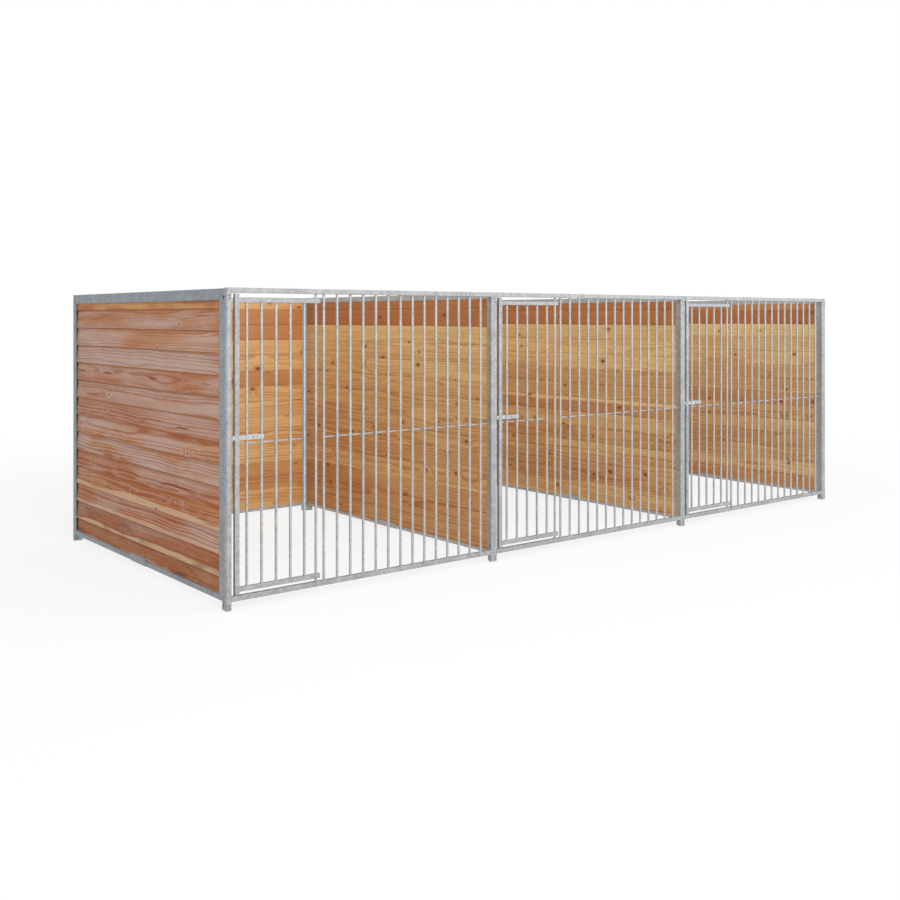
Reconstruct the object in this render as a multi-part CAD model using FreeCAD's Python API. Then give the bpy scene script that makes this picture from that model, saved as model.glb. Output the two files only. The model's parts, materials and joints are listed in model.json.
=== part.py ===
import FreeCAD, Part
import math
import os

# A run of open dog kennel bays standing side by side. Wall panels are larch boards in a galvanised
# steel frame, fronts are galvanised bars with a hinged door and a sliding latch bolt.
# Millimetres. +X runs along the front, +Y goes from the front to the rear wall, +Z is up.
# The origin is the middle of the footprint, on the ground.

# The run of bays
bay_count = 3
bay_width = 2000.0
kennel_depth = 2500.0
kennel_height = 1840.0
foot_height = 50.0

# Square tube of the posts, rails and panel frames
tube_size = 30.0
tube_wall = 2.0
tube_corner = 3.0

# Front grille
end_stile_width = 20.0
bar_diameter = 16.0
bar_wall = 1.5
bar_pitch = 95.6
hinge_offset = 595.0
hinge_to_fixed_bar = 56.0
hinge_to_door_bar = 80.0
tie_rod_diameter = 8.0
tie_rod_height = 945.0
weld_gap = 0.2

# Door
door_side_gap = 20.0
door_stile_width = 30.0
door_end_gap = 4.0
door_rail_overrun = 22.0
door_top_gap = 29.0
door_bottom_gap = 20.0
door_bar_least_gap = 30.0
hinge_clearance = 0.08
hinge_collar_rim = 2.0
hinge_collar_height = 5.0
hinge_collar_gap = 1.0
hinge_seat_gap = 0.3

# Latch bolt, a flat bar that slides through the door stile into a slot in the front post
latch_height = 981.0
bolt_height = 26.0
bolt_thickness = 4.0
bolt_play = 0.4
bolt_rest_gap = 3.0
finger_hole_diameter = 13.0
finger_hole_offset = 35.5
rivet_inset = 25.0
rivet_diameter = 9.0
guide_width = 24.0
guide_wall = 1.8

# Wall panels
panel_drop = 4.0
outer_lip = 36.0
inner_lip = 10.0
lip_wall = 2.0
channel_height = 32.0
channel_inner_height = 22.0
board_cover = 128.5
board_lap = 12.0
board_thick_edge = 26.0
board_thin_edge = 14.0
board_bevel = 2.0
board_inner_play = 0.3
board_outer_play = 1.7
board_end_gap = 0.8
board_lap_play = 0.5
saddle_length = 240.0
saddle_rise = 15.0
saddle_wall = 2.0

# Fasteners and their holes
screw_diameter = 6.0
screw_head_diameter = 11.0
screw_head_height = 3.5
screw_grip = 6.0
screw_pair_spacing = 20.0
screw_top_drop = 54.0
screw_foot_height = 25.0
clamp_diameter = 8.0
clamp_head_flats = 13.0
clamp_head_height = 5.3
clamp_nut_height = 6.5
clamp_thread_end = 2.5
link_low_rise = 30.0
fastener_hole_play = 0.3
access_slot_width = 14.0
access_slot_height = 20.0
anchor_hole_diameter = 12.0
anchor_hole_height = 25.0

# Places and sizes that follow from the ones above
panel_thickness = 2 * lip_wall + board_thick_edge + board_inner_play + board_outer_play
panel_top = kennel_height - panel_drop
channel_top = foot_height + channel_height
channel_inner_top = foot_height + channel_inner_height
run_length = bay_count * bay_width + panel_thickness
wall_x = [index * bay_width for index in range(bay_count + 1)]
post_middle = tube_size / 2
rail_top = foot_height + tube_size
top_rail_bottom = kennel_height - tube_size
centre = FreeCAD.Vector(run_length / 2, (kennel_depth + saddle_wall - screw_head_height) / 2, 0)

bar_front = post_middle - bar_diameter / 2
bar_back = post_middle + bar_diameter / 2
door_left = tube_size + door_side_gap
door_stile_right = door_left + door_stile_width
door_rail_size = bar_diameter + 2 * (hinge_collar_rim + hinge_collar_gap + tube_wall)
door_low_rail_bottom = rail_top + door_bottom_gap
door_low_rail_top = door_low_rail_bottom + door_rail_size
door_high_rail_bottom = top_rail_bottom - door_top_gap - door_rail_size

bolt_tip = tube_size + bolt_rest_gap
bolt_back = bar_front - bolt_play
bolt_front = bolt_back - bolt_thickness
slot_front = bolt_front - bolt_play
slot_bottom = latch_height - bolt_height / 2 - bolt_play
slot_top = latch_height + bolt_height / 2 + bolt_play

rear_middle = kennel_depth - tube_size / 2
panel_front_middle = tube_size + tube_size / 2
screw_top_height = kennel_height - screw_top_drop
link_low_height = rail_top + link_low_rise
clamp_hole_diameter = clamp_diameter + 2 * fastener_hole_play
tolerance = 1e-6


# Basic shapes
def box(x0, x1, y0, y1, z0, z1):
    return Part.makeBox(x1 - x0, y1 - y0, z1 - z0, FreeCAD.Vector(x0, y0, z0))


def rod(diameter, length, start, direction):
    return Part.makeCylinder(diameter / 2, length, FreeCAD.Vector(*start), FreeCAD.Vector(*direction))


def tube(outer, along, square_side=None, cap_low=False, cap_high=False):
    """Rectangular tube with rounded long edges.

    outer is (x0, x1, y0, y1, z0, z1) and along the axis number of its length. The long edges on
    square_side, an axis number and a place on it, stay sharp. A cap closes an end of the tube.
    """
    solid = box(*outer)
    rounded = []
    for edge in solid.Edges:
        start, end = [vertex.Point for vertex in edge.Vertexes]
        if abs(start[along] - end[along]) < tolerance:
            continue
        if square_side and abs(start[square_side[0]] - square_side[1]) < tolerance:
            continue
        rounded.append(edge)
    inner = list(outer)
    for axis in range(3):
        inset = (tube_wall, tube_wall)
        if axis == along:
            inset = (tube_wall if cap_low else 0, tube_wall if cap_high else 0)
        inner[2 * axis] += inset[0]
        inner[2 * axis + 1] -= inset[1]
    return solid.makeFillet(tube_corner, rounded).cut(box(*inner))


def hexagon(flats, height, x, y, z):
    """Hexagon prism along +X, for bolt heads and nuts."""
    radius = flats / math.sqrt(3)
    corners = []
    for step in range(7):
        angle = math.radians(60 * step)
        corners.append(FreeCAD.Vector(x, y + radius * math.cos(angle), z + radius * math.sin(angle)))
    return Part.Face(Part.makePolygon(corners)).extrude(FreeCAD.Vector(height, 0, 0))


def drill(solid, holes):
    """Cuts the holes that meet a solid."""
    near = [hole for hole in holes if hole.BoundBox.intersect(solid.BoundBox)]
    return solid.cut(near) if near else solid


def save(node, solids):
    """Writes one node, moved so that the origin is the middle of the footprint."""
    shape = solids[0] if len(solids) == 1 else Part.makeCompound(solids)
    shape = shape.copy()
    shape.translate(centre * -1)
    shape.exportStep("parts/" + node + ".step")


# Fasteners and the holes that they pass through
def post_screw(x, z):
    """Pan head screw through a front post into the wall panel behind it."""
    shank = rod(screw_diameter, tube_size + screw_grip, (x, 0, z), (0, 1, 0))
    head = rod(screw_head_diameter, screw_head_height, (x, 0, z), (0, -1, 0))
    crown = [edge for edge in head.Edges if edge.BoundBox.YMax < -screw_head_height / 2]
    return shank.fuse(head.makeFillet(screw_head_height / 2, crown)).removeSplitter()


def post_screw_hole(x, z):
    diameter = screw_diameter + 2 * fastener_hole_play
    return rod(diameter, tube_size + tube_wall, (x, 0, z), (0, 1, 0))


def clamp_bolt(x0, x1, y, z):
    """Hexagon bolt along +X that clamps the walls between x0 and x1, and its nut."""
    head = hexagon(clamp_head_flats, clamp_head_height, x0 - clamp_head_height, y, z)
    reach = x1 - x0 + clamp_nut_height + clamp_thread_end
    shank = rod(clamp_diameter, reach, (x0, y, z), (1, 0, 0))
    nut = hexagon(clamp_head_flats, clamp_nut_height, x1, y, z)
    bore = cross_hole(clamp_hole_diameter, x1, x1 + clamp_nut_height, y, z)
    return [head.fuse(shank).removeSplitter(), nut.cut(bore)]


def cross_hole(diameter, x0, x1, y, z):
    """Hole along X from x0 to x1."""
    return rod(diameter, x1 - x0, (x0, y, z), (1, 0, 0))


def access_slot(x0, x1, y, z):
    """Upright slot with round ends, through the walls between x0 and x1."""
    half_width = access_slot_width / 2
    half_straight = (access_slot_height - access_slot_width) / 2
    slot = box(x0, x1, y - half_width, y + half_width, z - half_straight, z + half_straight)
    for end in (z - half_straight, z + half_straight):
        slot = slot.fuse(cross_hole(access_slot_width, x0, x1, y, end))
    return slot.removeSplitter()


def wall_fasteners(index):
    """Screws, link bolts and corner bolts at one wall line of the run, and the holes for them."""
    x = wall_x[index]
    inner_x = x + panel_thickness
    first, last = index == 0, index == bay_count
    screws, links, corners, holes = [], [], [], []

    for level in (screw_top_height, screw_foot_height):
        for z in (level - screw_pair_spacing / 2, level + screw_pair_spacing / 2):
            screws.append(post_screw(x + post_middle, z))
            holes.append(post_screw_hole(x + post_middle, z))

    for z in (screw_top_height, link_low_height):
        hole_from = x if first else x - end_stile_width
        holes.append(cross_hole(clamp_hole_diameter, hole_from, x + tube_wall, post_middle, z))
        if not first:
            links += clamp_bolt(x - end_stile_width, x + tube_wall, post_middle, z)

    clamp_from = inner_x - tube_wall if first else x - tube_wall
    clamp_to = x + tube_wall if last else inner_x + tube_wall
    for z in (screw_top_height, anchor_hole_height):
        corners += clamp_bolt(clamp_from, clamp_to, rear_middle, z)
        holes.append(cross_hole(clamp_hole_diameter, clamp_from, clamp_to, rear_middle, z))

    if first or last:
        skin = (x, x + tube_wall) if first else (inner_x - tube_wall, inner_x)
        holes.append(access_slot(*skin, panel_front_middle, screw_top_height))
        holes.append(access_slot(*skin, rear_middle, screw_top_height))
        holes.append(cross_hole(anchor_hole_diameter, *skin, rear_middle, anchor_hole_height))
    holes.append(cross_hole(anchor_hole_diameter, x, inner_x, panel_front_middle, anchor_hole_height))
    return screws, links, corners, holes


# Wall panel, in its own frame: u along the panel from 0, v from the outer face to the inner face
def board_thickness(height):
    taper = (board_thick_edge - board_thin_edge) / (board_cover + board_lap)
    return board_thick_edge - taper * height


def board(u0, u1, z0, height):
    """Weatherboard: flat inside, thick at its bottom edge, lapped over the top of the board below."""
    inside = panel_thickness - lip_wall - board_inner_play
    rebate = inside - board_thickness(board_cover) - board_lap_play
    outline = [
        (inside, board_lap + board_bevel),
        (inside, height - board_bevel),
        (inside - board_bevel, height),
        (inside - board_thickness(height), height),
        (inside - board_thick_edge, 0),
        (rebate, 0),
        (rebate, board_lap),
        (inside - board_bevel, board_lap),
    ]
    points = [FreeCAD.Vector(u0, v, z0 + z) for v, z in outline + outline[:1]]
    return Part.Face(Part.makePolygon(points)).extrude(FreeCAD.Vector(u1 - u0, 0, 0))


def panel_boards(length):
    """Full boards from the bottom channel up, and a ripped board that fills the top groove."""
    u0 = tube_size + board_end_gap
    u1 = length - tube_size - board_end_gap
    bottom = foot_height + lip_wall
    top = panel_top - tube_size - board_end_gap
    full_boards = int((top - bottom - board_lap - 2 * board_bevel) // board_cover)
    boards = []
    for row in range(full_boards):
        boards.append(board(u0, u1, bottom + row * board_cover, board_cover + board_lap))
    ripped = bottom + full_boards * board_cover
    boards.append(board(u0, u1, ripped, top - ripped))
    return boards


def panel_lips():
    """Width, place across the panel and lower end of the outer and the inner lip."""
    return (outer_lip, 0, channel_top), (inner_lip, panel_thickness - lip_wall, channel_inner_top)


def panel_post(u0, groove):
    """Upright tube with an outer and an inner lip that hold the board ends. groove is +1 or -1."""
    u1 = u0 + tube_size
    edge = u1 if groove > 0 else u0
    post = tube((u0, u1, 0, panel_thickness, 0, panel_top), 2, square_side=(0, edge), cap_high=True)
    for lip, v, bottom in panel_lips():
        ends = sorted((edge, edge + groove * lip))
        post = post.fuse(box(*ends, v, v + lip_wall, bottom, panel_top - tube_size - lip))
    return post.removeSplitter()


def panel_channels(length):
    """Top tube with its two lips, and the channel, lower inside, that the lowest board stands in."""
    u0 = tube_size
    u1 = length - tube_size
    tube_bottom = panel_top - tube_size
    top = tube((u0, u1, 0, panel_thickness, tube_bottom, panel_top), 0, square_side=(2, tube_bottom))
    for lip, v, _ in panel_lips():
        top = top.fuse(box(u0, u1, v, v + lip_wall, tube_bottom - lip, tube_bottom))
    low = box(u0, u1, 0, panel_thickness, foot_height, channel_top)
    low = low.cut(box(u0, u1, lip_wall, panel_thickness - lip_wall, foot_height + lip_wall, channel_top))
    low = low.cut(box(u0, u1, lip_wall, panel_thickness, channel_inner_top, channel_top))
    return [top.removeSplitter(), low]


def panel_saddle(length):
    """Strap bent up round the bottom channel at mid length, which keeps the boards from bowing."""
    u0 = (length - saddle_length) / 2
    u1 = (length + saddle_length) / 2
    top = channel_top + saddle_rise
    inner_top = channel_inner_top + saddle_rise
    strap = box(u0, u1, -saddle_wall, panel_thickness + saddle_wall, foot_height - saddle_wall, top)
    strap = strap.cut(box(u0, u1, 0, panel_thickness, foot_height, top))
    return strap.cut(box(u0, u1, 0, panel_thickness + saddle_wall, inner_top, top))


def place(solids, turn, x, y):
    """Turns panel solids about +Z, then moves them to their corner of the run."""
    placed = []
    for solid in solids:
        copy = solid.copy()
        copy.rotate(FreeCAD.Vector(0, 0, 0), FreeCAD.Vector(0, 0, 1), turn)
        copy.translate(FreeCAD.Vector(x, y, 0))
        placed.append(copy)
    return placed


def wall_places():
    """Name, length, turn and corner of each wall panel. Outer faces of the dividers look to +X."""
    side_length = kennel_depth - tube_size
    rear_length = bay_width - panel_thickness
    walls = [("left_wall", side_length, -90, 0, kennel_depth)]
    for index in range(1, bay_count + 1):
        name = "right_wall" if index == bay_count else "divider_%d" % index
        walls.append((name, side_length, 90, wall_x[index] + panel_thickness, tube_size))
    for index in range(1, bay_count + 1):
        walls.append(("rear_wall_%d" % index, rear_length, 180, wall_x[index], kennel_depth))
    return walls


def wall_panels(holes):
    saddles = []
    for name, length, turn, x, y in wall_places():
        posts = [panel_post(0, 1), panel_post(length - tube_size, -1)]
        save(name + "_posts", [drill(post, holes) for post in place(posts, turn, x, y)])
        save(name + "_channels", place(panel_channels(length), turn, x, y))
        save(name + "_boards", place(panel_boards(length), turn, x, y))
        saddles += place([panel_saddle(length)], turn, x, y)
    save("wall_saddles", saddles)


# Fronts, where x is the left face of a bay's front post
def bar(x, z0, z1):
    """Round upright bar, a tube that is butted between two rails."""
    start = (x, post_middle, z0)
    skin = rod(bar_diameter, z1 - z0, start, (0, 0, 1))
    return skin.cut(rod(bar_diameter - 2 * bar_wall, z1 - z0, start, (0, 0, 1)))


def tie_rod(x0, x1):
    """Thin rod welded across the back of the bars."""
    y = bar_back + weld_gap + tie_rod_diameter / 2
    return rod(tie_rod_diameter, x1 - x0, (x0, y, tie_rod_height), (1, 0, 0))


def bolt_slot(x0, x1):
    return box(x0, x1, slot_front, bar_front, slot_bottom, slot_top)


def front_posts(holes):
    """One post before each wall panel, with a slot for the latch bolt where a door closes on it."""
    for index, x in enumerate(wall_x):
        post = tube((x, x + tube_size, 0, tube_size, 0, kennel_height), 2, cap_high=True)
        if index < bay_count:
            post = post.cut(bolt_slot(x + tube_size - tube_wall, x + tube_size))
        save("front_post_%d" % (index + 1), [drill(post, holes)])


def fixed_bar_places(x):
    """Bars spread evenly from beside the hinge bar to the middle of the end stile."""
    first = x + hinge_offset + hinge_to_fixed_bar
    last = x + bay_width - end_stile_width / 2
    gaps = round((last - first) / bar_pitch)
    return [first + step * (last - first) / gaps for step in range(gaps)]


def hinge_bar(x):
    """Fixed bar that the door turns on, with a collar inside the door's lower rail to carry it."""
    axis_x = x + hinge_offset
    pin = rod(bar_diameter, top_rail_bottom - rail_top, (axis_x, post_middle, rail_top), (0, 0, 1))
    collar_bottom = door_low_rail_top - tube_wall - hinge_seat_gap - hinge_collar_height
    collar_diameter = bar_diameter + 2 * hinge_collar_rim
    collar = rod(collar_diameter, hinge_collar_height, (axis_x, post_middle, collar_bottom), (0, 0, 1))
    return pin.fuse(collar).removeSplitter()


def front_grille(number, x, holes):
    name = "front_%d_" % number
    left = x + tube_size
    right = x + bay_width
    stile_left = right - end_stile_width
    stile = tube((stile_left, right, 0, tube_size, 0, top_rail_bottom), 2)
    places = fixed_bar_places(x)
    bars = [bar(place_x, rail_top, top_rail_bottom) for place_x in places]
    save(name + "top_rail", [tube((left, right, 0, tube_size, top_rail_bottom, kennel_height), 0)])
    save(name + "bottom_rail", [tube((left, stile_left, 0, tube_size, foot_height, rail_top), 0)])
    save(name + "end_stile", [drill(stile, holes)])
    save(name + "bars", bars + [tie_rod(places[0] - bar_diameter / 2, stile_left)])
    save(name + "hinge_bar", [hinge_bar(x)])


# Doors
def door_bar_places(x):
    """Bars at the bar pitch from beside the hinge bar, as many as fit before the stile."""
    last = x + hinge_offset - hinge_to_door_bar
    room = last - bar_diameter / 2 - (x + door_stile_right + door_bar_least_gap)
    count = int(room // bar_pitch) + 1
    return [last - step * bar_pitch for step in reversed(range(count))]


def door_stile(x):
    """Upright tube on the latch side, with a slot through it for the latch bolt."""
    bottom = rail_top + door_end_gap
    top = top_rail_bottom - door_end_gap
    outer = (x + door_left, x + door_stile_right, 0, bar_back, bottom, top)
    return tube(outer, 2, cap_low=True, cap_high=True).cut(bolt_slot(x + door_left, x + door_stile_right))


def door_rail(x, bottom):
    """Rail that runs past the hinge bar, with an upright hole for it."""
    right = x + hinge_offset + door_rail_overrun
    front = post_middle - door_rail_size / 2
    back = post_middle + door_rail_size / 2
    rail = tube((x + door_stile_right, right, front, back, bottom, bottom + door_rail_size), 0)
    bore_diameter = bar_diameter + 2 * hinge_clearance
    bore = rod(bore_diameter, door_rail_size, (x + hinge_offset, post_middle, bottom), (0, 0, 1))
    return rail.cut(bore)


def latch_guide(bar_x):
    """Strap welded to the first door bar, which holds the latch bolt against the bars."""
    x0 = bar_x - guide_width / 2
    x1 = bar_x + guide_width / 2
    back = bar_front - weld_gap
    strap = box(x0, x1, slot_front - guide_wall, back, slot_bottom - guide_wall, slot_top + guide_wall)
    return strap.cut(box(x0, x1, slot_front, back, slot_bottom, slot_top))


def latch_bolt(x, guide_x, tail):
    """Flat bar with a finger hole and a rivet, its tip just clear of the front post."""
    bottom = latch_height - bolt_height / 2
    flat = box(x + bolt_tip, tail, bolt_front, bolt_back, bottom, bottom + bolt_height)
    hole_start = (guide_x + finger_hole_offset, bolt_front, latch_height)
    hole = rod(finger_hole_diameter, bolt_thickness, hole_start, (0, 1, 0))
    head_start = (tail - rivet_inset, bolt_front, latch_height)
    head = rod(rivet_diameter, bolt_play + guide_wall, head_start, (0, -1, 0))
    return flat.cut(hole).fuse(head).removeSplitter()


def door(number, x):
    name = "door_%d_" % number
    places = door_bar_places(x)
    bars = [bar(place_x, door_low_rail_top, door_high_rail_bottom) for place_x in places]
    save(name + "stile", [door_stile(x)])
    save(name + "rails", [door_rail(x, door_low_rail_bottom), door_rail(x, door_high_rail_bottom)])
    save(name + "bars", bars + [tie_rod(x + door_left, places[-1] + bar_diameter / 2)])
    save(name + "latch_guide", [latch_guide(places[0])])
    save(name + "latch_bolt", [latch_bolt(x, places[0], places[1] + bar_diameter / 2)])


def kennel_run():
    screws, links, corners, holes = [], [], [], []
    for index in range(bay_count + 1):
        for group, more in zip((screws, links, corners, holes), wall_fasteners(index)):
            group.extend(more)
    save("post_screws", screws)
    save("link_bolts", links)
    save("corner_bolts", corners)
    wall_panels(holes)
    front_posts(holes)
    for index in range(bay_count):
        front_grille(index + 1, wall_x[index], holes)
        door(index + 1, wall_x[index])


os.makedirs("parts", exist_ok=True)
kennel_run()
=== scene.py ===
import json
import math
import random

import bmesh
import bpy
import numpy as np
from mathutils import Matrix, Vector


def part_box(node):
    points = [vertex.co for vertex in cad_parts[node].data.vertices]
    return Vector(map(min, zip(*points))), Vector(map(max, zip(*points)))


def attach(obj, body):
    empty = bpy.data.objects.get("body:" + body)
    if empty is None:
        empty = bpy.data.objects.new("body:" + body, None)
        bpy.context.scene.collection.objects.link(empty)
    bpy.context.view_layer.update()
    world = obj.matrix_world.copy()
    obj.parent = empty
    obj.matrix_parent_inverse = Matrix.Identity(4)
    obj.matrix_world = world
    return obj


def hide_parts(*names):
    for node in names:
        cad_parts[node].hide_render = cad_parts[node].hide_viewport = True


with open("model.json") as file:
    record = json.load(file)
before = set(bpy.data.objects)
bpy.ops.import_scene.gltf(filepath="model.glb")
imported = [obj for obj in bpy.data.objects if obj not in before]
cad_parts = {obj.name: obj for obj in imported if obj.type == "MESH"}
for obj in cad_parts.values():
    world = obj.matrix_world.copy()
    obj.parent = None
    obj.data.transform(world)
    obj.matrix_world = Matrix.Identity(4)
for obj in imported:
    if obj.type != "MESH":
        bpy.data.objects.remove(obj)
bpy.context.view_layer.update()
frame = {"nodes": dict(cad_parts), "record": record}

bl_info = {
    "name": "Dog kennel run",
    "version": (1, 0, 0),
    "blender": (4, 5, 0),
    "location": "View3D > Sidebar > Kennel",
    "description": "Dresses the dog kennel run in larch boards and galvanised steel, on a studio stage",
    "category": "Object",
}

bays = (1, 2, 3)
side_walls = ("left_wall", "divider_1", "divider_2", "right_wall")
rear_walls = ("rear_wall_1", "rear_wall_2", "rear_wall_3")
smooth_angle = math.radians(35)
weld_seed = 3
screw_seed = 5

# A board lower than this share of a full one is ripped
ripped_share = 0.8
# Shares of orange heartwood: two for the rear walls, ranges for the others
rear_hearts = (0.3, 0.72)
left_hearts = (0.0, 0.3)
# This range is partly painted shade under the top rail, on the top boards of the inner side walls
top_shade_hearts = (0.6, 0.85)
pale_hearts = (-0.1, 0.1)
mixed_hearts = (0.2, 0.66)
# Shares of a wall's height above which its boards are dark, partly darker boards and partly painted shade
# under the top rail, and pale under those
top_shade_from = 0.88
pale_from = 0.66


def display_colour(red, green, blue):
    """Linear colour of display values from 0 to 255."""
    shares = (value / 255 for value in (red, green, blue))
    return tuple(s / 12.92 if s <= 0.04045 else ((s + 0.055) / 1.055) ** 2.4 for s in shares)


def length_setting(name, description, default):
    return bpy.props.FloatProperty(name=name, description=description, default=default, precision=4,
                                   min=0.0, subtype="DISTANCE", unit="LENGTH")


def colour_setting(name, description, *display):
    return bpy.props.FloatVectorProperty(name=name, description=description, size=3, min=0.0, max=1.0,
                                         default=display_colour(*display), subtype="COLOR")


def place_setting(name, description, default):
    return bpy.props.FloatVectorProperty(name=name, description=description, default=default, size=3,
                                         subtype="TRANSLATION", unit="LENGTH")


def power_setting(name, description, default):
    return bpy.props.FloatProperty(name=name, description=description, default=default, unit="POWER")


class KennelBoards(bpy.types.PropertyGroup):
    thick_edge: length_setting("Thick edge", "Thickness of a weatherboard at its bottom edge", 0.026)
    thin_edge: length_setting("Thin edge", "Thickness of a full weatherboard at its top edge", 0.014)
    full_height: length_setting("Full height", "Height of a full weatherboard with its lap", 0.1405)
    lap: length_setting("Lap", "How far a board reaches down over the one below", 0.012)
    tongue: length_setting("Tongue", "Thickness that the rebate leaves for the board below", 0.0155)
    edge_round: length_setting("Rounded edge", "Radius of the planed edges", 0.002)
    waviness: length_setting("Waviness", "How far a face leaves the flat", 0.0014)
    wave_size: length_setting("Wave size", "Size of the waves in a face", 0.3)
    droop: length_setting("Droop", "How far one end of a board sits below the other", 0.0016)
    seed: bpy.props.IntProperty(name="Seed", description="Picks another stack of boards", default=11)


class KennelLarch(bpy.types.PropertyGroup):
    weathered_pale: colour_setting("Weathered, pale", "Pale heartwood outside", 188, 162, 149)
    weathered_tan: colour_setting("Weathered, tan", "Tan heartwood outside", 189, 142, 101)
    weathered_red: colour_setting("Weathered, red", "Red heartwood outside", 169, 103, 64)
    indoor_pale: colour_setting("Inside, pale", "Pale heartwood inside", 236, 202, 140)
    indoor_red: colour_setting("Inside, red", "Red heartwood inside", 208, 150, 86)
    orange: colour_setting("Orange", "Orange heartwood inside", 176, 109, 64)
    bloom: colour_setting("Bloom", "Greyish pink patches of weathered wood", 194, 172, 162)
    golden: colour_setting("Golden", "Ripped board at the top, outside", 206, 154, 86)
    sapwood: colour_setting("Sapwood", "Pale strips along some edges", 224, 198, 164)
    latewood: colour_setting("Latewood", "Dark part of a growth ring", 154, 86, 46)
    fresh: colour_setting("Fresh wood", "Strip that a lap had covered", 192, 116, 58)
    knot: colour_setting("Knot", "Heart of a knot", 112, 64, 36)
    crack: colour_setting("Crack", "Inside of a drying crack", 112, 58, 28)
    # The seam colour is painted shade in the joints between boards inside
    seam: colour_setting("Seam", "Shaded joint between two boards, inside", 112, 66, 34)
    ring_width: length_setting("Ring width", "Distance between growth rings", 0.02)


class KennelSteel(bpy.types.PropertyGroup):
    # Painted shade darkens the left wall's zinc on its shaded side; painted light brightens the same zinc
    # on the other walls' frames, against the shade inside the bays
    shaded_left_panel: colour_setting("Left panel", "Zinc on the frame of the left wall", 140, 146, 151)
    lit_inner_panels: colour_setting("Inner panels", "Zinc on the other walls' frames", 176, 180, 181)
    fronts: colour_setting("Fronts", "Zinc on posts, rails and stiles in front", 160, 161, 161)
    bars: colour_setting("Bars", "Zinc on the round bars", 169, 173, 174)
    latches: colour_setting("Latches", "Zinc on the latch bolts and guides", 172, 175, 177)
    fasteners: colour_setting("Fasteners", "Zinc plating on screws and bolts", 138, 140, 141)
    spangle: length_setting("Spangle", "Size of the zinc crystals", 0.011)
    fine_spangle: length_setting("Fine spangle", "Size of the zinc crystals on screws and bolts", 0.003)
    weld_bead: length_setting("Weld bead", "Thickness of the weld bead round a bar", 0.0026)
    weld_seam: length_setting("Weld seam", "Thickness of the weld seam round a tube", 0.0018)
    weld_spot: length_setting("Weld spot", "Height of a spot weld on the tie rod", 0.011)
    weld_lumps: length_setting("Weld lumps", "Size of the lumps in a weld", 0.004)
    screw_head: length_setting("Screw head", "Height of a screw's button head", 0.0035)
    screw_shank: length_setting("Screw shank", "Thickness of a screw's shank", 0.006)


class KennelStage(bpy.types.PropertyGroup):
    camera_place: place_setting("Camera place", "Where the camera stands", (-5.806, -6.767, 1.671))
    camera_turn: bpy.props.FloatProperty(
        name="Camera turn", description="Turn of the level camera from straight at the fronts",
        default=math.radians(-38.62), subtype="ANGLE", unit="ROTATION")
    lens: bpy.props.FloatProperty(name="Lens", description="Focal length", default=42.72, unit="CAMERA")
    shift_down: bpy.props.FloatProperty(
        name="Shift down", description="Share of the picture that the level view is lowered by",
        default=0.1476)
    sky: bpy.props.FloatProperty(
        name="Sky", description="Strength of the light from all round", default=0.72)
    key: power_setting("Key light", "Power of the large soft light on the left", 1150.0)
    key_place: place_setting("Key place", "Where the key light hangs", (-5.0, -12.0, 7.0))
    key_size: length_setting("Key size", "Width of the key light", 8.0)
    fill: power_setting("Fill light", "Power of the soft light on the right", 440.0)
    fill_place: place_setting("Fill place", "Where the fill light hangs", (9.0, -9.0, 5.0))
    fill_size: length_setting("Fill size", "Width of the fill light", 6.0)
    light_aim: place_setting("Light aim", "Where both lights point", (0.0, 0.0, 0.8))
    floor: colour_setting("Floor", "Colour of the floor", 236, 236, 236)
    floor_size: length_setting("Floor size", "Length of the floor's sides", 120.0)
    floor_drop: length_setting("Floor drop", "How far the floor lies under the feet", 0.0005)


class Value:
    """One output socket of a shader. Arithmetic on it adds Math nodes."""

    def __init__(self, finish, socket):
        self.finish = finish
        self.socket = socket

    def other(self, name):
        """Another output of the same node."""
        return Value(self.finish, self.socket.node.outputs[name])

    def maths(self, operation, *values):
        return self.finish.node("ShaderNodeMath", {"operation": operation}, dict(enumerate(values)))

    def __add__(self, value):
        return self.maths("ADD", self, value)

    def __radd__(self, value):
        return self.maths("ADD", value, self)

    def __sub__(self, value):
        return self.maths("SUBTRACT", self, value)

    def __rsub__(self, value):
        return self.maths("SUBTRACT", value, self)

    def __mul__(self, value):
        return self.maths("MULTIPLY", self, value)

    def __rmul__(self, value):
        return self.maths("MULTIPLY", value, self)

    def __truediv__(self, value):
        return self.maths("DIVIDE", self, value)

    def __pow__(self, value):
        return self.maths("POWER", self, value)

    def __abs__(self):
        return self.maths("ABSOLUTE", self)

    def part_of_one(self):
        return self.maths("FRACT", self)

    def or_more(self, value):
        return self.maths("MAXIMUM", self, value)


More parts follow.
